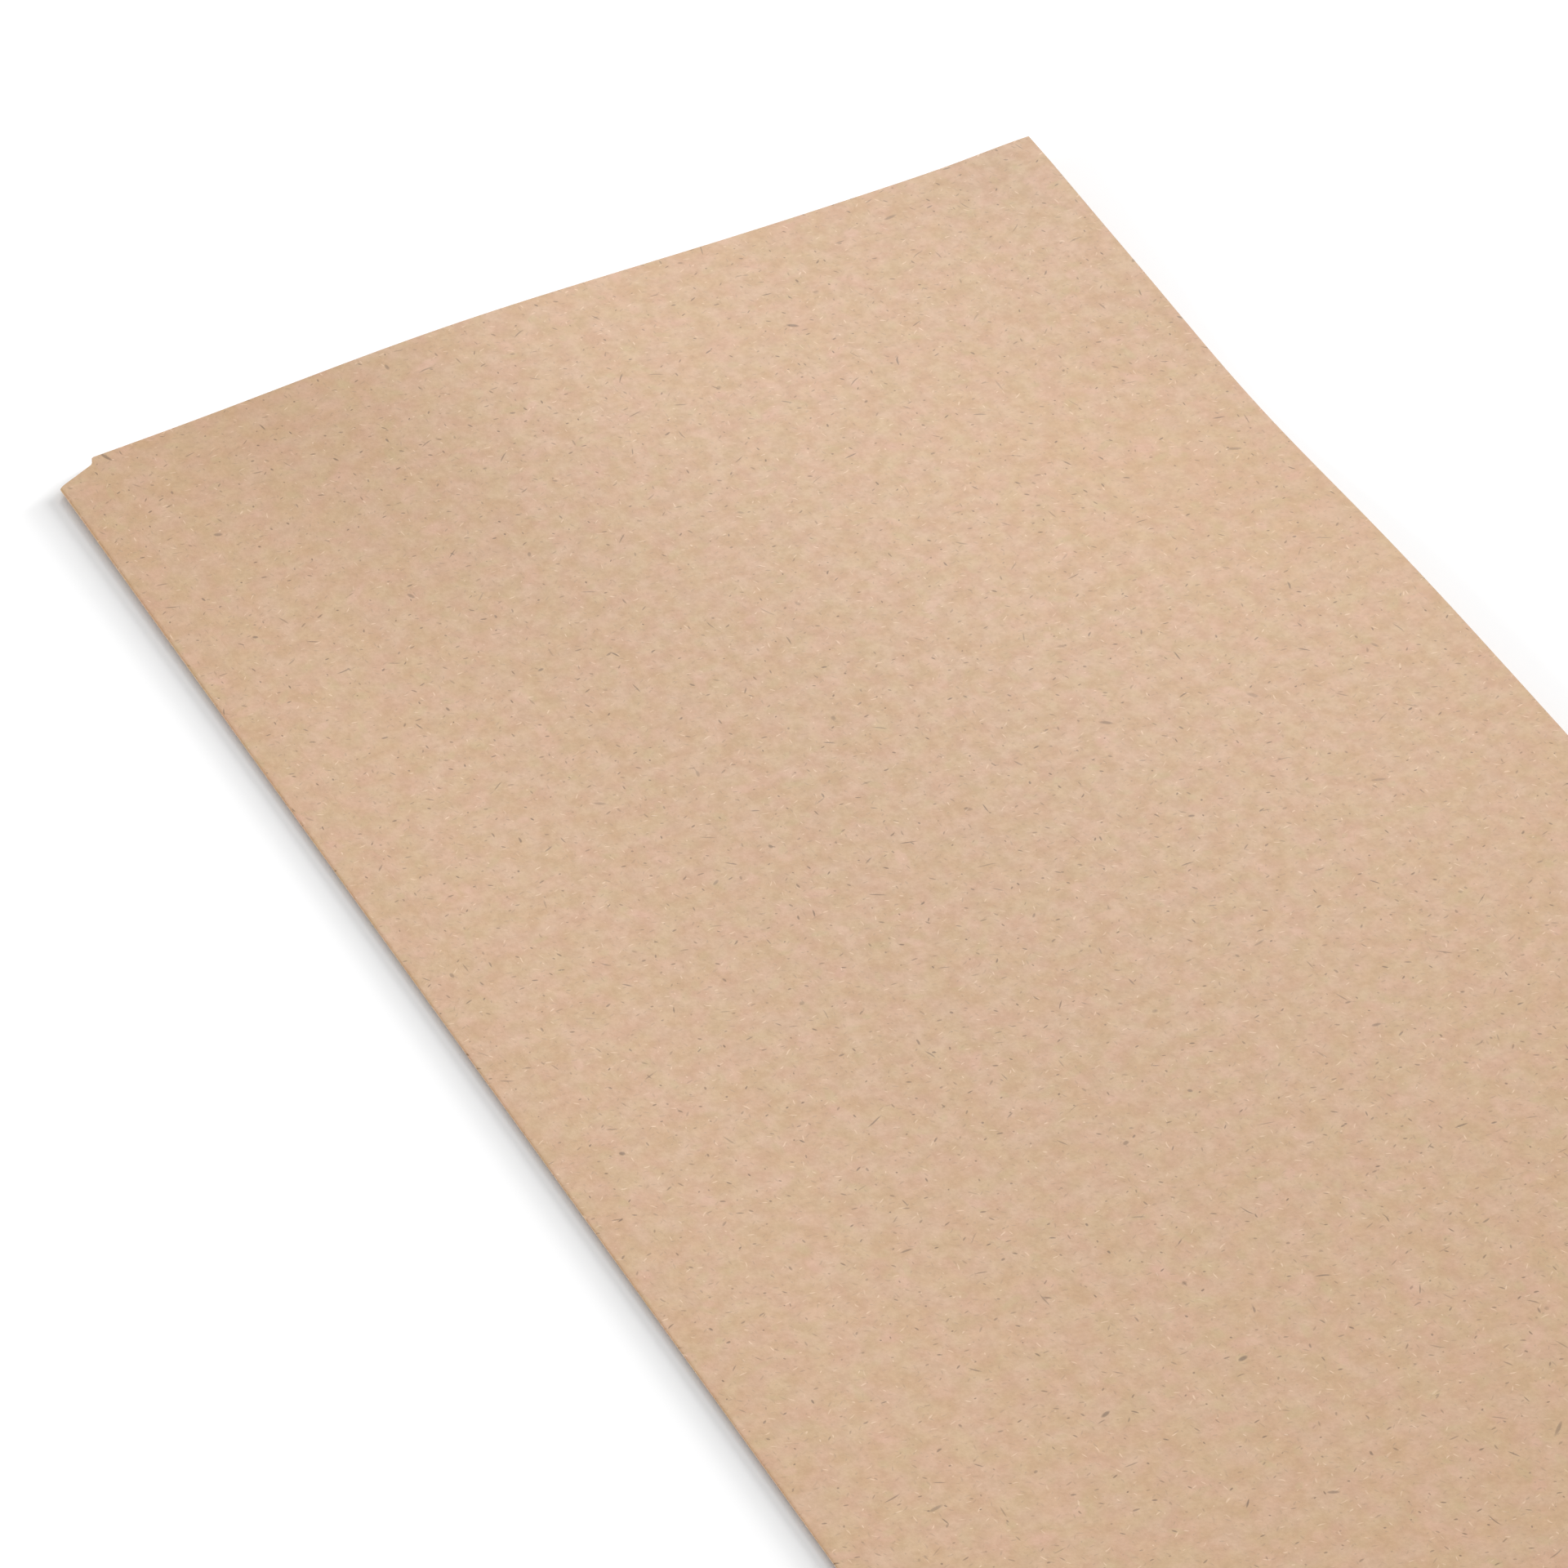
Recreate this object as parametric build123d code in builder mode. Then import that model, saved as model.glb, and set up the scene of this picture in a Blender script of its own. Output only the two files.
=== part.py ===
"""A paper napkin: one thin rectangular sheet, folded in half lengthwise and then in half crosswise.

Folded, it is four leaves thick. The lengthwise fold runs along the left side (-X), the open edges lie
along the right side (+X), the crosswise fold is the near end (-Y) and the cut ends of the sheet are
the far end (+Y). The two leaves that the lengthwise fold joins are called a pair: the upper pair lies
on the lower pair, and the crosswise fold joins them. The napkin lies flat on its lowest leaf, with the
origin on the table under the middle of its outline. All sizes are in millimetres.
"""

import os
from math import pi

from build123d import *

# The sheet before it is folded
sheet_width = 178.0
sheet_length = 343.0
paper = 0.08

# Air that stays between the leaves inside each fold
leaf_gap = 0.02
pair_gap = 0.04

# The folds miss the middle of the sheet by a little, so the edges don't quite meet
inner_edge_inset = 0.8
lower_end_inset = 4.0

# The cut end of the upper pair runs a little out of square and has a nicked corner at the fold
end_skew = 1.3
nick_width = 3.6
nick_depth = 0.7
nick_slant = 1.5
nick_round = 0.3

# Lengthwise fold: a half round whose outer radius is half the height of a pair
fold_radius = paper + leaf_gap / 2
fold_bore = leaf_gap / 2
fold_arc = pi * (fold_radius + fold_bore) / 2
folded_width = (sheet_width + inner_edge_inset - fold_arc) / 2 + fold_radius

# Crosswise fold: the upper pair turns down and runs back under itself
bend_radius = 2 * fold_radius + pair_gap / 2
bend_arc = pi * (fold_radius + pair_gap / 2)
upper_run = (sheet_length + lower_end_inset - bend_arc) / 2
folded_length = upper_run + bend_radius

# Places in the folded napkin
left = -folded_width / 2
right = folded_width / 2
far_end = folded_length / 2
bend_y = bend_radius - folded_length / 2
middle_height = bend_radius
pair_height = 2 * bend_radius - fold_radius

# Section of the upper pair: two leaves and the half round of the lengthwise fold
top = pair_height + fold_radius
under = pair_height - fold_radius
gap_top = pair_height + fold_bore
gap_under = pair_height - fold_bore
fold_x = left + fold_radius
inner_edge = right - inner_edge_inset

# Corners of the upper pair's cut end
end_at_nick = far_end - end_skew
nick_foot = end_at_nick - nick_depth
nick_x = left + nick_width
clear_of_end = far_end + nick_width

with BuildPart() as napkin:
    with BuildSketch(Plane.XZ.offset(-bend_y)) as pair_section:
        with BuildLine():
            Line((right, top), (fold_x, top))
            ThreePointArc((fold_x, top), (left, pair_height), (fold_x, under))
            Polyline((fold_x, under), (inner_edge, under), (inner_edge, gap_under), (fold_x, gap_under))
            ThreePointArc((fold_x, gap_under), (fold_x - fold_bore, pair_height), (fold_x, gap_top))
            Polyline((fold_x, gap_top), (right, gap_top), (right, top))
        make_face()

    # The upper pair, the lower pair as its mirror image, and the crosswise fold that joins them
    upper_pair = extrude(amount=-upper_run)
    mirror(upper_pair, about=Plane.XY.offset(middle_height))
    revolve(
        pair_section.sketch,
        axis=Axis((0, bend_y, middle_height), (1, 0, 0)),
        revolution_arc=180,
    )

    # Trim the upper pair's end: a slanted corner at the fold, a nick, then an edge just out of square
    with BuildSketch(Plane.XY.offset(middle_height)) as upper_waste:
        with BuildLine():
            Polyline(
                (left, clear_of_end),
                (left, nick_foot - nick_slant),
                (nick_x, nick_foot),
                (nick_x, end_at_nick),
                (right, far_end),
                (right, clear_of_end),
                close=True,
            )
        make_face()
        nick_corner = upper_waste.vertices().sort_by_distance((nick_x, end_at_nick, middle_height))[0]
        fillet(nick_corner, radius=nick_round)
    extrude(amount=bend_radius, mode=Mode.SUBTRACT)

    # Trim the lower pair's end square, short of the upper one
    with BuildSketch():
        with Locations((0, far_end)):
            Rectangle(folded_width, 2 * lower_end_inset)
    extrude(amount=middle_height, mode=Mode.SUBTRACT)

napkin.part.label = "napkin"

os.makedirs("parts", exist_ok=True)
export_step(napkin.part, "parts/napkin.step")

print(f"folded {folded_width:.2f} x {folded_length:.2f} x {top:.2f} mm")
print(f"paper {napkin.part.volume:.1f} mm3 of the sheet's {sheet_width * sheet_length * paper:.1f} mm3")
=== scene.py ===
"""A folded kraft paper napkin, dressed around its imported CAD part.

The napkin is one thin sheet, folded in half lengthwise and then in half crosswise, so it lies as two
pairs of leaves. The lengthwise fold runs along the -X side, the open edges along +X, the crosswise fold
is at the -Y end and the cut ends are at the +Y end. Everything is in metres, in the frame of the CAD.
"""

import logging
import math
from dataclasses import dataclass
from enum import Enum

import bpy
import numpy as np
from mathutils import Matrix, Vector


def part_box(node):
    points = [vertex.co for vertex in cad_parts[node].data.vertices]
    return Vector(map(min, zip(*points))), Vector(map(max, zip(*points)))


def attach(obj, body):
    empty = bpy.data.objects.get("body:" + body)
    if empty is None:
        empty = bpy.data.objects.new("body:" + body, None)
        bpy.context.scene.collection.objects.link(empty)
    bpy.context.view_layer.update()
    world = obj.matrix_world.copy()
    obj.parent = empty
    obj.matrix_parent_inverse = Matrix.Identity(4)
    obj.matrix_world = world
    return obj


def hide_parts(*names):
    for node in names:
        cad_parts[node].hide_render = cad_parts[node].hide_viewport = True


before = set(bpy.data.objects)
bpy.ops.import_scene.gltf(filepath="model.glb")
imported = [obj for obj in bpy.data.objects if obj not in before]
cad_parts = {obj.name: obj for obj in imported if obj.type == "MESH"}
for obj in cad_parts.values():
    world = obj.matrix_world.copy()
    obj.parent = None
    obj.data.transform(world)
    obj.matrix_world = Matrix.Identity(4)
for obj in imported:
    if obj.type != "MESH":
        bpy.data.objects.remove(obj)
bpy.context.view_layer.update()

MM = 0.001
SHEET_MAP = "Sheet"
EVERYWHERE = math.inf
FLOAT = "NodeSocketFloat"
VECTOR = "NodeSocketVector"

log = logging.getLogger("napkin")


class Face(Enum):
    """The two faces of the sheet, by the side of its middle surface that they lie on."""

    OUTSIDE = 1
    INSIDE = -1


class Gap(Enum):
    """The places where air opens in the folded stack, from the bottom up."""

    UNDER_STACK = 0
    LOWER_PAIR = 1
    BETWEEN_PAIRS = 2
    UPPER_PAIR = 3


class MixSocket(Enum):
    """The numbers of the Mix node's colour sockets, which share their names with others."""

    FACTOR = 0
    FIRST = 6
    SECOND = 7
    RESULT = 2


def ease(share: np.ndarray) -> np.ndarray:
    """A smooth start and stop: 0 below 0, 1 above 1, and an S between them."""
    held = np.clip(share, 0.0, 1.0)
    return held * held * (3.0 - 2.0 * held)


@dataclass(frozen=True)
class Swell:
    """A gentle rise or dip of the top leaf, shared out over the gaps of the stack."""

    amount: float
    centre: tuple[float, float]
    spread: tuple[float, float]
    shares: tuple[float, float, float, float]

    def height(self, gap: Gap, x: np.ndarray, y: np.ndarray) -> np.ndarray:
        """How much this swell opens one gap.

        Args:
            gap: The gap of the stack that is asked for.
            x: Places across the napkin.
            y: Places along the napkin.

        Returns:
            The opening at each place.
        """
        across = ((x - self.centre[0]) / self.spread[0]) ** 2
        along = ((y - self.centre[1]) / self.spread[1]) ** 2
        return self.amount * self.shares[gap.value] * np.exp(-across - along)


@dataclass(frozen=True)
class CutEnd:
    """The outline of a cut end of the sheet, measured back from the far end of the napkin."""

    inset: float = 0.0
    skew: float = 0.0
    nick_width: float = 0.0
    nick_depth: float = 0.0
    nick_slant: float = 0.0
    nick_step: float = 0.4 * MM
    blunt_reach: float = 0.5 * MM
    blunt_depth: float = 0.15 * MM

    def setback(self, from_fold: np.ndarray, width: float) -> np.ndarray:
        """How far the cut lies back from the far end.

        Args:
            from_fold: Distances from the lengthwise fold.
            width: The width of the folded napkin.

        Returns:
            The setback at each distance.
        """
        slope = np.clip((width - from_fold) / (width - self.nick_width), 0.0, 1.0)
        if not self.nick_width:
            return self.inset + self.skew * slope
        rise = ease((from_fold - self.nick_width) / self.nick_step + 0.5)
        corner = self.nick_depth + self.nick_slant * np.clip(1.0 - from_fold / self.nick_width, 0.0, 1.0)
        blunt = self.blunt_depth * np.clip(1.0 - from_fold / self.blunt_reach, 0.0, 1.0) ** 2
        return self.inset + self.skew * slope + corner * (1.0 - rise) + blunt


@dataclass
class SheetPlan:
    """The sizes of the sheet as it lies folded, and where its leaves run."""

    low: Vector
    high: Vector
    paper: float = 0.06 * MM
    snug_pair: float = 0.075 * MM
    snug_middle: float = 0.08 * MM
    inner_edge_inset: float = 0.8 * MM
    lower_fold_inset: float = 1.6 * MM
    slip_run: float = 0.4
    upper_end: CutEnd = CutEnd(
        skew=1.3 * MM,
        nick_width=3.6 * MM,
        nick_depth=0.7 * MM,
        nick_slant=1.5 * MM,
    )
    lower_end: CutEnd = CutEnd(inset=4.0 * MM)

    @property
    def width(self) -> float:
        """The folded napkin's width."""
        return self.high.x - self.low.x

    @property
    def length(self) -> float:
        """The folded napkin's length."""
        return self.high.y - self.low.y

    @property
    def swells(self) -> tuple[Swell, ...]:
        """The rises and dips that the leaves have taken up.

        Returns:
            The swells, each with its amount, its middle, its spread and its share of each gap.
        """
        fold_x = self.low.x
        open_x = self.high.x
        near_y = self.low.y
        far_y = self.high.y
        even = (0.40, 0.16, 0.22, 0.22)
        # In order: the upper pair's fold stands up a little; the open side lifts along its whole length,
        # but less at a dip near the far end and at the near end; the far end bows up; its open corner
        # spreads; the middle is a little full; and air stays in the crosswise fold.
        return (
            Swell(0.22 * MM, (fold_x, 0.0), (14 * MM, EVERYWHERE), (0.05, 0.05, 0.85, 0.05)),
            Swell(1.29 * MM, (open_x, 0.0), (49.7 * MM, EVERYWHERE), even),
            Swell(-1.19 * MM, (open_x, 49.5 * MM), (22 * MM, 17.8 * MM), even),
            Swell(-0.70 * MM, (open_x, near_y), (50 * MM, 50 * MM), even),
            Swell(1.50 * MM, (-10.5 * MM, far_y), (24.6 * MM, 30 * MM), (0.10, 0.15, 0.40, 0.35)),
            Swell(0.42 * MM, (open_x, far_y), (6 * MM, 9 * MM), (0.0, 0.0, 0.3, 0.7)),
            Swell(0.41 * MM, (8 * MM, 20 * MM), (30 * MM, 55 * MM), (0.0, 0.2, 0.5, 0.3)),
            Swell(0.16 * MM, (0.0, near_y), (EVERYWHERE, 3 * MM), (0.0, 0.0, 1.0, 0.0)),
        )

    def opening(self, gap: Gap, x: np.ndarray, y: np.ndarray) -> np.ndarray:
        """All swells of one gap added up.

        Args:
            gap: The gap of the stack that is asked for.
            x: Places across the napkin.
            y: Places along the napkin.

        Returns:
            The opening at each place.
        """
        total = np.zeros(np.broadcast(x, y).shape)
        for swell in self.swells:
            total += swell.height(gap, x, y)
        return total

    def leaf_gaps(self, x: np.ndarray, y: np.ndarray) -> tuple[np.ndarray, np.ndarray, np.ndarray]:
        """The distances between the middle surfaces of leaves that lie on each other.

        Args:
            x: Places across the napkin.
            y: Places along the napkin.

        Returns:
            The distances inside the lower pair, between the pairs and inside the upper pair.
        """
        lower_pair = self.snug_pair + self.opening(Gap.LOWER_PAIR, x, y)
        middle = self.snug_middle + self.opening(Gap.BETWEEN_PAIRS, x, y)
        upper_pair = self.snug_pair + self.opening(Gap.UPPER_PAIR, x, y)
        return lower_pair, middle, upper_pair


@dataclass
class FoldedSheet:
    """The sheet of paper: its middle surface, its two faces and its cut edges."""

    plan: SheetPlan
    fine_step: float = 0.20 * MM
    fine_reach: float = 6.0 * MM
    leaf_step: float = 1.6 * MM
    run_step: float = 1.6 * MM
    fold_turns: int = 12
    face_offset: float = 0.30
    sharp_angle: float = 40.0

    def _leaf_fractions(self, length: float, coarse: float, fine: bool) -> np.ndarray:
        """Stations along a leaf, from its fold to its free edge.

        Args:
            length: The leaf's run from fold to edge.
            coarse: The usual distance between stations.
            fine: Whether the first stretch beside the fold has close stations.

        Returns:
            Fractions of the run, from 0 at the fold to 1 at the edge.
        """
        reach = self.fine_reach if fine else 0.0
        near = np.arange(0.0, reach, self.fine_step)
        count = max(2, round((length - reach) / coarse))
        far = np.linspace(reach, length, count + 1)
        return np.concatenate([near, far]) / length

    def _middle_surface(self) -> tuple[np.ndarray, np.ndarray]:
        """The sheet's middle surface as a grid, columns across the napkin and rows along it.

        Returns:
            The points, and the place of each on the flat sheet.
        """
        plan = self.plan
        half = plan.paper / 2.0
        low = plan.low
        turn = np.linspace(0.0, math.pi, self.fold_turns + 1)[1:-1]

        leaf = self._leaf_fractions(plan.width, self.leaf_step, fine=True)
        leaf_part = np.concatenate([leaf[::-1], 0.0 * turn, leaf])[:, None]
        side = np.concatenate([0.0 * leaf + 1.0, np.cos(turn), 0.0 * leaf - 1.0])[:, None]
        bulge = np.concatenate([0.0 * leaf, np.sin(turn), 0.0 * leaf])[:, None]
        edge_x = np.where(side > 0.0, plan.high.x, plan.high.x - plan.inner_edge_inset)

        run = self._leaf_fractions(plan.length, self.run_step, fine=False)
        run_part = np.concatenate([run[::-1], 0.0 * turn, run])[None, :]
        pair = np.concatenate([0.0 * run + 1.0, np.cos(turn), 0.0 * run - 1.0])[None, :]
        dip = np.concatenate([0.0 * run, np.sin(turn), 0.0 * run])[None, :]

        # How much of each place belongs to the lower or upper pair, and to its lower or upper leaf.
        in_lower_pair = 0.5 * (1.0 - pair)
        in_upper_pair = 0.5 * (1.0 + pair)
        in_lower_leaf = 0.5 * (1.0 - side)
        in_upper_leaf = 0.5 * (1.0 + side)

        along_fold = low.y + run_part * plan.length
        lower_pair, _, upper_pair = plan.leaf_gaps(low.x + 0.0 * edge_x, along_fold)
        fold_radius = (in_lower_pair * lower_pair + in_upper_pair * upper_pair) / 2.0
        set_in = plan.lower_fold_inset * ease(run_part / plan.slip_run) * in_lower_pair
        fold_x = low.x + half + fold_radius + set_in
        x = fold_x + leaf_part * (edge_x - fold_x) - bulge * fold_radius

        lower_pair, middle, upper_pair = plan.leaf_gaps(x, low.y + 0.0 * x)
        outer_radius = (lower_pair + upper_pair + middle) / 2.0
        bend_radius = (middle + (lower_pair + upper_pair) * in_upper_leaf) / 2.0
        bend_y = low.y + half + outer_radius
        from_fold = x - low.x
        upper_cut = plan.high.y - plan.upper_end.setback(from_fold, plan.width)
        lower_cut = plan.high.y - plan.lower_end.setback(from_fold, plan.width)
        cut_y = np.where(pair > 0.0, upper_cut, lower_cut)
        y = bend_y + run_part * (cut_y - bend_y) - dip * bend_radius

        lower_pair, middle, upper_pair = plan.leaf_gaps(x, y)
        lower_height = lower_pair * in_lower_leaf
        upper_height = lower_pair + middle + upper_pair * in_upper_leaf
        z = half + plan.opening(Gap.UNDER_STACK, x, y)
        z = z + in_lower_pair * lower_height + in_upper_pair * upper_height
        z = z - (z.min() - half)

        points = np.stack([x, y, z], axis=-1)
        return points, self._flat_places(points)

    def _flat_places(self, points: np.ndarray) -> np.ndarray:
        """Where each grid point lies on the sheet before it was folded.

        Args:
            points: The grid of the middle surface.

        Returns:
            Distances across and along the flat sheet.
        """
        across = np.linalg.norm(np.diff(points, axis=0), axis=-1)
        along = np.linalg.norm(np.diff(points, axis=1), axis=-1)
        u = np.concatenate([np.zeros((1, points.shape[1])), np.cumsum(across, axis=0)])
        v = np.concatenate([np.zeros((points.shape[0], 1)), np.cumsum(along, axis=1)], axis=1)
        first = self.plan.upper_end.setback(points[:, :1, 0] - self.plan.low.x, self.plan.width)
        return np.stack([u, v + first], axis=-1)

    @staticmethod
    def _normals(points: np.ndarray) -> np.ndarray:
        """Unit normals of the middle surface, away from the fold's inside.

        Args:
            points: The grid of the middle surface.

        Returns:
            One normal for each point.
        """
        across = np.gradient(points, axis=0)
        along = np.gradient(points, axis=1)
        normal = np.cross(along, across)
        return normal / np.linalg.norm(normal, axis=-1, keepdims=True)

    def _edge_loop(self, columns: int, rows: int) -> list[tuple[int, int]]:
        """The grid's border, once round.

        Args:
            columns: How many columns the grid has.
            rows: How many rows the grid has.

        Returns:
            The column and row number of each border point.
        """
        near = [(i, 0) for i in range(columns)]
        right = [(columns - 1, j) for j in range(1, rows)]
        far = [(i, rows - 1) for i in range(columns - 2, -1, -1)]
        left = [(0, j) for j in range(rows - 2, 0, -1)]
        return near + right + far + left

    def build(self, name: str, face: bpy.types.Material, edge: bpy.types.Material) -> bpy.types.Object:
        """Makes the sheet as one closed mesh.

        Args:
            name: The name of the new object.
            face: The finish of the two paper faces.
            edge: The finish of the cut edges.

        Returns:
            The new object.
        """
        points, places = self._middle_surface()
        normals = self._normals(points)
        columns, rows = points.shape[:2]
        half = self.plan.paper / 2.0
        skins = [points + side.value * half * normals for side in Face]
        vertices = np.concatenate([skin.reshape(-1, 3) for skin in skins])
        numbers = np.arange(columns * rows).reshape(columns, rows)

        quads = np.stack([numbers[:-1, :-1], numbers[:-1, 1:], numbers[1:, 1:], numbers[1:, :-1]], axis=-1)
        quads = quads.reshape(-1, 4)
        inside = quads[:, ::-1] + columns * rows
        loop = self._edge_loop(columns, rows)
        border = np.array([numbers[i, j] for i, j in loop])
        following = np.roll(border, -1)
        rim = np.stack([border, following, following + columns * rows, border + columns * rows], axis=-1)
        faces = np.concatenate([quads, inside, rim])

        flat = places.reshape(-1, 2)
        face_maps = [flat + np.array([self.face_offset * number, 0.0]) for number in range(len(Face))]
        corner_places = np.concatenate(face_maps)[faces.ravel()]

        mesh = bpy.data.meshes.new(name)
        mesh.from_pydata(vertices.tolist(), [], faces.tolist())
        layer = mesh.uv_layers.new(name=SHEET_MAP)
        layer.data.foreach_set("uv", corner_places.astype(np.float32).ravel())
        mesh.materials.append(face)
        mesh.materials.append(edge)
        slots = np.zeros(len(faces), dtype=np.int32)
        slots[-len(rim):] = 1
        mesh.polygons.foreach_set("material_index", slots)
        mesh.polygons.foreach_set("use_smooth", np.ones(len(faces), dtype=bool))
        mesh.update()
        mesh.set_sharp_from_angle(angle=math.radians(self.sharp_angle))
        sheet = bpy.data.objects.new(name, mesh)
        bpy.context.scene.collection.objects.link(sheet)
        return sheet


class Wiring:
    """Short calls that add nodes to one tree and join them."""

    def __init__(self, tree: bpy.types.NodeTree) -> None:
        """Keeps the tree that the nodes go into."""
        self.tree = tree

    def node(self, kind: str, **settings: object) -> bpy.types.Node:
        """Adds a node and sets its options.

        Args:
            kind: The node's type name.
            **settings: Options of the node.

        Returns:
            The new node.
        """
        node = self.tree.nodes.new(kind)
        for name, value in settings.items():
            setattr(node, name, value)
        return node

    def feed(self, socket: bpy.types.NodeSocket, value: object) -> None:
        """Joins another socket to this one, or sets its value.

        Args:
            socket: The socket that takes the value.
            value: A socket to join, or a plain value.
        """
        if isinstance(value, bpy.types.NodeSocket):
            self.tree.links.new(value, socket)
        else:
            socket.default_value = value

    def math(self, operation: str, first: object, second: object = 0.0) -> bpy.types.NodeSocket:
        """One sum on two numbers.

        Args:
            operation: Blender's name for it.
            first: The first number or socket.
            second: The second number or socket.

        Returns:
            The socket with the result.
        """
        node = self.node("ShaderNodeMath", operation=operation)
        self.feed(node.inputs[0], first)
        self.feed(node.inputs[1], second)
        return node.outputs[0]

    def vector_math(self, operation: str, first: object, second: object = None) -> bpy.types.Node:
        """One sum on two vectors.

        Args:
            operation: Blender's name for it.
            first: The first vector or socket.
            second: The second vector or socket, where there is one.

        Returns:
            The node, because a length comes out of another socket than a vector.
        """
        node = self.node("ShaderNodeVectorMath", operation=operation)
        self.feed(node.inputs[0], first)
        if second is not None:
            self.feed(node.inputs[1], second)
        return node

    def scaled(self, vector: object, scale: object) -> bpy.types.NodeSocket:
        """A vector times a number.

        Args:
            vector: The vector or socket.
            scale: The number or socket.

        Returns:
            The socket with the result.
        """
        node = self.vector_math("SCALE", vector)
        self.feed(node.inputs["Scale"], scale)
        return node.outputs[0]

    def remap(
        self, value: object, start: float, end: float, low: float, high: float
    ) -> bpy.types.NodeSocket:
        """A smooth change from low to high while the value goes from start to end.

        Args:
            value: The number or socket that is read.
            start: The value that gives low.
            end: The value that gives high.
            low: The result at start.
            high: The result at end.

        Returns:
            The socket with the result.
        """
        node = self.node("ShaderNodeMapRange", interpolation_type="SMOOTHSTEP")
        self.feed(node.inputs["Value"], value)
        self.feed(node.inputs["From Min"], start)
        self.feed(node.inputs["From Max"], end)
        self.feed(node.inputs["To Min"], low)
        self.feed(node.inputs["To Max"], high)
        return node.outputs["Result"]

    def noise(self, vector: object, size: object, detail: float, roughness: float = 0.5) -> bpy.types.Node:
        """Cloudy noise with patches of a given size.

        Args:
            vector: The place, in metres.
            size: The size of one patch, in metres.
            detail: How many finer layers are added.
            roughness: How strong the finer layers are.

        Returns:
            The noise node.
        """
        node = self.node("ShaderNodeTexNoise", noise_dimensions="2D")
        self.feed(node.inputs["Vector"], vector)
        self.feed(node.inputs["Scale"], self.math("DIVIDE", 1.0, size))
        self.feed(node.inputs["Detail"], detail)
        self.feed(node.inputs["Roughness"], roughness)
        return node

    def blend(
        self, factor: object, first: object, second: object, mode: str = "MIX"
    ) -> bpy.types.NodeSocket:
        """Two colours mixed.

        Args:
            factor: How much of the second colour there is.
            first: The first colour or socket.
            second: The second colour or socket.
            mode: How the second is laid over the first.

        Returns:
            The socket with the mixed colour.
        """
        node = self.node("ShaderNodeMix", data_type="RGBA", blend_type=mode)
        self.feed(node.inputs[MixSocket.FACTOR.value], factor)
        self.feed(node.inputs[MixSocket.FIRST.value], first)
        self.feed(node.inputs[MixSocket.SECOND.value], second)
        return node.outputs[MixSocket.RESULT.value]


def new_group(
    name: str, inputs: dict[str, tuple[str, object]], outputs: dict[str, str]
) -> tuple[Wiring, bpy.types.Node, bpy.types.Node]:
    """A shader node group with named inputs and outputs.

    Args:
        name: The group's name.
        inputs: The kind and usual value of each input, by name.
        outputs: The kind of each output, by name.

    Returns:
        The wiring of the new tree, its input node and its output node.
    """
    tree = bpy.data.node_groups.new(name, "ShaderNodeTree")
    for label, (kind, value) in inputs.items():
        socket = tree.interface.new_socket(label, in_out="INPUT", socket_type=kind)
        if value is not None:
            socket.default_value = value
    for label, kind in outputs.items():
        tree.interface.new_socket(label, in_out="OUTPUT", socket_type=kind)
    wiring = Wiring(tree)
    return wiring, wiring.node("NodeGroupInput"), wiring.node("NodeGroupOutput")


def pulp_group() -> bpy.types.NodeTree:
    """The cloudy lay of the pulp: soft patches, a drift of hue and a fine grain.

    Returns:
        A group whose outputs are masks from 0 to 1.
    """
    wiring, given, result = new_group(
        "Pulp lay",
        {
            "Place": (VECTOR, None),
            "Patch Size": (FLOAT, 3.0 * MM),
            "Hue Size": (FLOAT, 4.0 * MM),
            "Grain Size": (FLOAT, 0.5 * MM),
        },
        {"Patches": FLOAT, "Warmth": FLOAT, "Freshness": FLOAT, "Grain": FLOAT},
    )
    middle_band = (0.25, 0.75, 0.0, 1.0)
    grain_band = (0.2, 0.8, 0.0, 1.0)
    place = given.outputs["Place"]
    patches = wiring.noise(place, given.outputs["Patch Size"], detail=3.0, roughness=0.78)
    hue = wiring.noise(place, given.outputs["Hue Size"], detail=1.0)
    grain = wiring.noise(place, given.outputs["Grain Size"], detail=2.0, roughness=0.7)
    channels = wiring.node("ShaderNodeSeparateColor")
    wiring.feed(channels.inputs[0], hue.outputs["Color"])
    wiring.feed(result.inputs["Patches"], wiring.remap(patches.outputs[0], *middle_band))
    wiring.feed(result.inputs["Warmth"], wiring.remap(channels.outputs[0], *middle_band))
    wiring.feed(result.inputs["Freshness"], wiring.remap(channels.outputs[1], *middle_band))
    wiring.feed(result.inputs["Grain"], wiring.remap(grain.outputs[0], *grain_band))
    return wiring.tree


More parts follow.
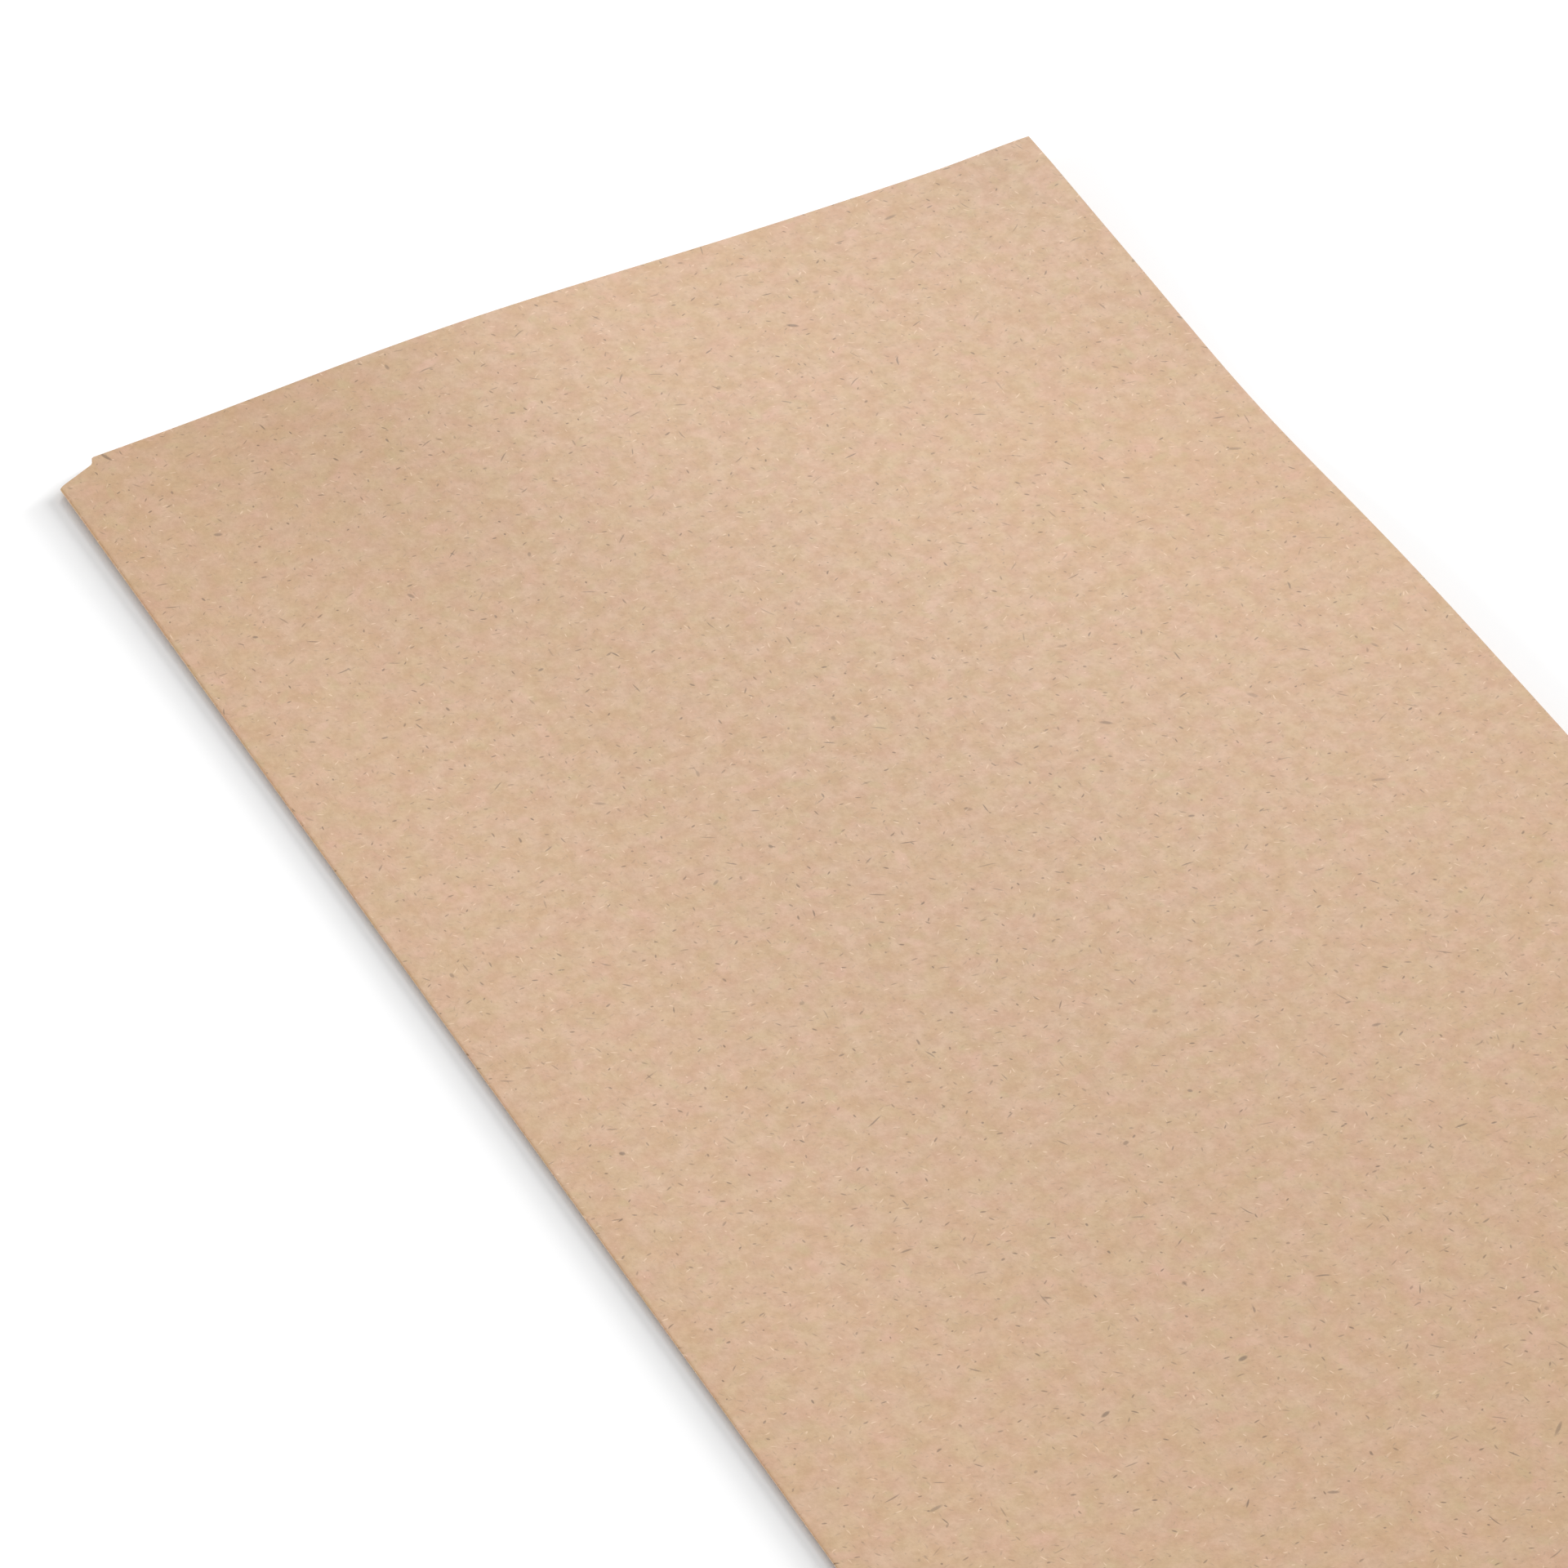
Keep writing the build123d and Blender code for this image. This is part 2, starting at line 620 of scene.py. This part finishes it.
def fleck_group() -> bpy.types.NodeTree:
    """Loose fibres and flecks of bark: thin curved dashes that lie every way.

    Returns:
        A group whose output is 1 in the middle of a dash and 0 off it.
    """
    wiring, given, result = new_group(
        "Fibre flecks",
        {
            "Place": (VECTOR, None),
            "Spacing": (FLOAT, 2.0 * MM),
            "Length": (FLOAT, 0.5 * MM),
            "Width": (FLOAT, 0.1 * MM),
            "Share": (FLOAT, 0.5),
            "Lean": (FLOAT, 0.0),
            "Swing": (FLOAT, math.pi),
        },
        {"Dashes": FLOAT},
    )
    wander_share = 0.35
    scatter = 0.8
    shortest, longest = 0.25, 0.7
    dash_core = 0.15
    fading = 0.6
    spacing = given.outputs["Spacing"]
    wander = wiring.noise(given.outputs["Place"], spacing, detail=1.0)
    centred = wiring.vector_math("SUBTRACT", wander.outputs["Color"], (0.5, 0.5, 0.5)).outputs[0]
    shift = wiring.scaled(centred, wiring.math("MULTIPLY", spacing, wander_share))
    place = wiring.vector_math("ADD", given.outputs["Place"], shift).outputs[0]
    cells = wiring.node("ShaderNodeTexVoronoi", voronoi_dimensions="2D")
    wiring.feed(cells.inputs["Vector"], place)
    wiring.feed(cells.inputs["Scale"], wiring.math("DIVIDE", 1.0, spacing))
    wiring.feed(cells.inputs["Randomness"], scatter)
    chance = wiring.node("ShaderNodeSeparateColor")
    wiring.feed(chance.inputs[0], cells.outputs["Color"])
    from_centre = wiring.vector_math("SUBTRACT", place, cells.outputs["Position"]).outputs[0]
    turned = wiring.node("ShaderNodeVectorRotate", rotation_type="Z_AXIS")
    wiring.feed(turned.inputs["Vector"], from_centre)
    swing = wiring.math("MULTIPLY", wiring.math("SUBTRACT", chance.outputs[0], 0.5), given.outputs["Swing"])
    wiring.feed(turned.inputs["Angle"], wiring.math("ADD", swing, given.outputs["Lean"]))
    parts = wiring.node("ShaderNodeSeparateXYZ")
    wiring.feed(parts.inputs[0], turned.outputs[0])
    length_share = wiring.remap(chance.outputs[2], 0.0, 1.0, shortest, longest)
    reach = wiring.math("MULTIPLY", given.outputs["Length"], length_share)
    girth = wiring.math("MULTIPLY", given.outputs["Width"], 0.5)
    along = wiring.math("DIVIDE", parts.outputs[0], reach)
    across = wiring.math("DIVIDE", parts.outputs[1], girth)
    along_squared = wiring.math("MULTIPLY", along, along)
    across_squared = wiring.math("MULTIPLY", across, across)
    squares = wiring.math("ADD", along_squared, across_squared)
    dash = wiring.remap(squares, 1.0, dash_core, 0.0, 1.0)
    present = wiring.math("LESS_THAN", chance.outputs[1], given.outputs["Share"])
    depth = wiring.math("DIVIDE", chance.outputs[1], given.outputs["Share"])
    strength = wiring.math("SUBTRACT", 1.0, wiring.math("MULTIPLY", depth, fading))
    shown = wiring.math("MULTIPLY", present, strength)
    wiring.feed(result.inputs["Dashes"], wiring.math("MULTIPLY", dash, shown))
    return wiring.tree


@dataclass(frozen=True)
class Flecks:
    """One kind of dash in the paper: how it is spaced, its size, how many cells hold one, its tint."""

    spacing: float
    length: float
    width: float
    share: float
    tint: tuple[float, float, float, float]
    strength: float


@dataclass(frozen=True)
class KraftPaper:
    """Unbleached kraft tissue: a warm brown with pale fibres and dark flecks of bark."""

    pale: tuple[float, float, float, float] = (0.572, 0.370, 0.232, 1.0)
    deep: tuple[float, float, float, float] = (0.531, 0.336, 0.2065, 1.0)
    rosy: tuple[float, float, float, float] = (1.0, 0.935, 0.925, 1.0)
    straw: tuple[float, float, float, float] = (0.955, 0.985, 0.86, 1.0)
    grain_tint: tuple[float, float, float, float] = (0.90, 0.885, 0.865, 1.0)
    grain_strength: float = 0.75
    patch_size: float = 1.45 * MM
    hue_size: float = 2.4 * MM
    grain_size: float = 0.45 * MM
    stains: Flecks = Flecks(
        spacing=3.1 * MM,
        length=1.7 * MM,
        width=0.9 * MM,
        share=0.6,
        tint=(0.47, 0.36, 0.17, 1.0),
        strength=0.30,
    )
    blushes: Flecks = Flecks(
        spacing=4.3 * MM,
        length=2.2 * MM,
        width=1.2 * MM,
        share=0.5,
        tint=(0.66, 0.38, 0.29, 1.0),
        strength=0.28,
    )
    specks: Flecks = Flecks(
        spacing=0.75 * MM,
        length=0.45 * MM,
        width=0.15 * MM,
        share=0.7,
        tint=(0.33, 0.21, 0.125, 1.0),
        strength=0.5,
    )
    fibres: Flecks = Flecks(
        spacing=1.2 * MM,
        length=0.50 * MM,
        width=0.14 * MM,
        share=0.45,
        tint=(0.85, 0.63, 0.44, 1.0),
        strength=0.45,
    )
    bark: Flecks = Flecks(
        spacing=1.6 * MM,
        length=0.42 * MM,
        width=0.18 * MM,
        share=0.6,
        tint=(0.18, 0.105, 0.052, 1.0),
        strength=0.85,
    )
    threads: Flecks = Flecks(
        spacing=4.2 * MM,
        length=0.95 * MM,
        width=0.16 * MM,
        share=0.6,
        tint=(0.16, 0.095, 0.048, 1.0),
        strength=0.8,
    )
    knots: Flecks = Flecks(
        spacing=13.0 * MM,
        length=1.1 * MM,
        width=0.42 * MM,
        share=0.6,
        tint=(0.17, 0.10, 0.05, 1.0),
        strength=0.85,
    )
    lean: float = math.radians(28.0)
    swing: float = math.radians(150.0)
    smooth: float = 0.345
    rough: float = 0.395
    grain_height: float = 0.6
    bark_dent: float = 0.5
    relief: float = 0.018 * MM
    relief_strength: float = 0.28
    gloss: float = 0.45
    nap: float = 0.0
    nap_roughness: float = 0.5

    def make(self, name: str, pulp: bpy.types.NodeTree, flecks: bpy.types.NodeTree) -> bpy.types.Material:
        """Builds the finish as a material.

        Args:
            name: The material's name.
            pulp: The group with the lay of the pulp.
            flecks: The group that scatters dashes.

        Returns:
            The new material.
        """
        material = bpy.data.materials.new(name)
        material.use_nodes = True
        material.node_tree.nodes.clear()
        wiring = Wiring(material.node_tree)
        place = wiring.node("ShaderNodeUVMap", uv_map=SHEET_MAP).outputs[0]

        lay = wiring.node("ShaderNodeGroup", node_tree=pulp)
        wiring.feed(lay.inputs["Place"], place)
        wiring.feed(lay.inputs["Patch Size"], self.patch_size)
        wiring.feed(lay.inputs["Hue Size"], self.hue_size)
        wiring.feed(lay.inputs["Grain Size"], self.grain_size)

        colour = wiring.blend(lay.outputs["Patches"], self.deep, self.pale)
        colour = wiring.blend(lay.outputs["Warmth"], colour, self.rosy, "MULTIPLY")
        colour = wiring.blend(lay.outputs["Freshness"], colour, self.straw, "MULTIPLY")
        grain = wiring.math("MULTIPLY", lay.outputs["Grain"], self.grain_strength)
        colour = wiring.blend(grain, colour, self.grain_tint, "MULTIPLY")
        masks = {}
        kinds = (self.stains, self.blushes, self.specks, self.fibres, self.bark, self.threads, self.knots)
        for kind in kinds:
            scatter = wiring.node("ShaderNodeGroup", node_tree=flecks)
            wiring.feed(scatter.inputs["Place"], place)
            wiring.feed(scatter.inputs["Spacing"], kind.spacing)
            wiring.feed(scatter.inputs["Length"], kind.length)
            wiring.feed(scatter.inputs["Width"], kind.width)
            wiring.feed(scatter.inputs["Share"], kind.share)
            wiring.feed(scatter.inputs["Lean"], self.lean)
            wiring.feed(scatter.inputs["Swing"], self.swing)
            mask = wiring.math("MULTIPLY", scatter.outputs["Dashes"], kind.strength)
            colour = wiring.blend(mask, colour, kind.tint)
            masks[kind] = mask

        grain_rise = wiring.math("MULTIPLY", lay.outputs["Grain"], self.grain_height)
        fuzz = wiring.math("ADD", grain_rise, masks[self.fibres])
        height = wiring.math("SUBTRACT", fuzz, wiring.math("MULTIPLY", masks[self.bark], self.bark_dent))
        bump = wiring.node("ShaderNodeBump")
        wiring.feed(bump.inputs["Strength"], self.relief_strength)
        wiring.feed(bump.inputs["Distance"], self.relief)
        wiring.feed(bump.inputs["Height"], height)

        shader = wiring.node("ShaderNodeBsdfPrincipled")
        wiring.feed(shader.inputs["Base Color"], colour)
        roughness = wiring.remap(lay.outputs["Patches"], 0.0, 1.0, self.rough, self.smooth)
        wiring.feed(shader.inputs["Roughness"], roughness)
        wiring.feed(shader.inputs["Specular IOR Level"], self.gloss)
        wiring.feed(shader.inputs["Sheen Weight"], self.nap)
        wiring.feed(shader.inputs["Sheen Roughness"], self.nap_roughness)
        wiring.feed(shader.inputs["Normal"], bump.outputs[0])
        output = wiring.node("ShaderNodeOutputMaterial")
        wiring.feed(output.inputs["Surface"], shader.outputs[0])
        return material


@dataclass
class Napkin:
    """The napkin: one folded sheet in two finishes."""

    plan: SheetPlan
    flat_size: tuple[float, float] = (178 * MM, 343 * MM)

    def dress(self) -> tuple[bpy.types.Material, bpy.types.Material]:
        """Makes both finishes from the same groups.

        Returns:
            The finish of the faces and that of the cut edges.
        """
        pulp = pulp_group()
        flecks = fleck_group()
        face = KraftPaper().make("Kraft face", pulp, flecks)
        edge = KraftPaper(
            pale=(0.62, 0.45, 0.32, 1.0),
            deep=(0.50, 0.34, 0.23, 1.0),
            patch_size=0.9 * MM,
            smooth=0.85,
            rough=0.95,
            gloss=0.2,
            nap=0.15,
        ).make("Kraft cut edge", pulp, flecks)
        return face, edge

    def build(self, floor: bpy.types.Object) -> bpy.types.Object:
        """Builds the sheet, hangs it under the root body and hides the CAD part.

        Args:
            floor: What the napkin lies on; not used.

        Returns:
            The finished piece.
        """
        face, edge = self.dress()
        piece = FoldedSheet(self.plan).build("napkin_sheet", face, edge)
        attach(piece, "root")
        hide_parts("napkin")
        return piece


@dataclass(frozen=True)
class SoftLamp:
    """One round soft lamp that looks at the middle of the set."""

    name: str
    turn: float
    rise: float
    distance: float
    radius: float
    brightness: float

    def hang(self) -> bpy.types.Object:
        """Puts the lamp in place.

        Returns:
            The lamp, which gives white card on the floor the asked brightness.
        """
        data = bpy.data.lights.new(self.name, "AREA")
        data.shape = "DISK"
        data.size = 2.0 * self.radius
        turn = math.radians(self.turn)
        rise = math.radians(self.rise)
        spread = self.radius**2 + self.distance**2
        data.energy = self.brightness * math.pi**2 * spread / math.sin(rise)
        towards = Vector((math.sin(turn) * math.cos(rise), math.cos(turn) * math.cos(rise), math.sin(rise)))
        lamp = bpy.data.objects.new(self.name, data)
        lamp.location = towards * self.distance
        lamp.rotation_euler = towards.to_track_quat("Z", "Y").to_euler()
        lamp.visible_camera = False
        bpy.context.scene.collection.objects.link(lamp)
        return lamp


@dataclass
class Studio:
    """A plain white floor under soft even light, with five large soft lamps."""

    floor_size: float = 2.0
    floor_drop: float = 0.02 * MM
    floor_tone: float = 0.97
    floor_roughness: float = 0.9
    white: tuple[float, float, float, float] = (1.0, 1.0, 1.0, 1.0)
    sky_strength: float = 0.37
    backdrop_strength: float = 1.0
    lamps: tuple[SoftLamp, ...] = (
        SoftLamp("Side lamp", turn=80.0, rise=19.0, distance=3.0, radius=0.95, brightness=0.28),
        SoftLamp("Low lamp", turn=80.0, rise=8.5, distance=3.0, radius=0.40, brightness=0.15),
        SoftLamp("Back lamp", turn=29.0, rise=41.0, distance=1.5, radius=0.25, brightness=0.12),
        SoftLamp("Fill lamp", turn=282.0, rise=14.0, distance=1.1, radius=0.25, brightness=0.13),
        SoftLamp("Top lamp", turn=0.0, rise=86.0, distance=1.4, radius=0.35, brightness=0.07),
    )

    def lay_floor(self) -> bpy.types.Object:
        """Makes the floor, just under the part.

        Returns:
            The floor.
        """
        half = self.floor_size / 2.0
        corners = [(-half, -half), (half, -half), (half, half), (-half, half)]
        mesh = bpy.data.meshes.new("floor")
        mesh.from_pydata([(x, y, -self.floor_drop) for x, y in corners], [], [(0, 1, 2, 3)])
        material = bpy.data.materials.new("White card")
        material.use_nodes = True
        shader = material.node_tree.nodes["Principled BSDF"]
        shader.inputs["Base Color"].default_value = (self.floor_tone, self.floor_tone, self.floor_tone, 1.0)
        shader.inputs["Roughness"].default_value = self.floor_roughness
        shader.inputs["Specular IOR Level"].default_value = 0.0
        mesh.materials.append(material)
        floor = bpy.data.objects.new("floor", mesh)
        bpy.context.scene.collection.objects.link(floor)
        return floor

    def light(self) -> None:
        """Lights the set with an even soft sky and the lamps.

        The camera sees a brighter sky than the one that gives the light, so that low views are on white.
        """
        world = bpy.data.worlds.new("Studio air")
        world.use_nodes = True
        world.node_tree.nodes.clear()
        wiring = Wiring(world.node_tree)
        skies = []
        for strength in (self.sky_strength, self.backdrop_strength):
            sky = wiring.node("ShaderNodeBackground")
            wiring.feed(sky.inputs["Color"], self.white)
            wiring.feed(sky.inputs["Strength"], strength)
            skies.append(sky.outputs[0])
        seen = wiring.node("ShaderNodeLightPath").outputs["Is Camera Ray"]
        mixed = wiring.node("ShaderNodeMixShader")
        for socket, value in zip(mixed.inputs, (seen, *skies)):
            wiring.feed(socket, value)
        wiring.feed(wiring.node("ShaderNodeOutputWorld").inputs["Surface"], mixed.outputs[0])
        bpy.context.scene.world = world
        for lamp in self.lamps:
            lamp.hang()


@dataclass
class ViewPoint:
    """A long lens that looks down on the far end of the napkin."""

    plan: SheetPlan
    lens: float = 188.65
    rise: float = 41.405
    turn: float = 27.639
    aim_across: float = -0.1116
    aim_along: float = 0.1505
    distance_in_lengths: float = 3.5981
    sensor_width: float = 36.0
    nearest: float = 0.01
    farthest: float = 50.0

    def place(self) -> bpy.types.Object:
        """Makes the camera and hands it to the scene.

        Returns:
            The camera.
        """
        data = bpy.data.cameras.new("View")
        data.lens = self.lens
        data.sensor_width = self.sensor_width
        data.clip_start = self.nearest
        data.clip_end = self.farthest
        camera = bpy.data.objects.new("View", data)
        turn = math.radians(self.turn)
        rise = math.radians(self.rise)
        back = Vector((-math.sin(turn) * math.cos(rise), -math.cos(turn) * math.cos(rise), math.sin(rise)))
        aim = Vector((self.aim_across * self.plan.width, self.aim_along * self.plan.length, 0.0))
        camera.location = aim + back * self.distance_in_lengths * self.plan.length
        camera.rotation_euler = back.to_track_quat("Z", "Y").to_euler()
        bpy.context.scene.collection.objects.link(camera)
        bpy.context.scene.camera = camera
        return camera


def main() -> None:
    """Builds the floor, the napkin, the light and the camera in order."""
    logging.basicConfig(level=logging.INFO, format="%(name)s: %(message)s")
    bpy.context.scene.view_settings.view_transform = "Standard"
    low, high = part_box("napkin")
    plan = SheetPlan(low, high)
    studio = Studio()
    floor = studio.lay_floor()
    log.info("floor laid at %.2f mm", floor.data.vertices[0].co.z / MM)
    piece = Napkin(plan).build(floor)
    log.info("%s: %d faces", piece.name, len(piece.data.polygons))
    studio.light()
    log.info("studio lit")
    camera = ViewPoint(plan).place()
    log.info("camera at %.0f mm", camera.location.length / MM)


if __name__ == "__main__":
    main()
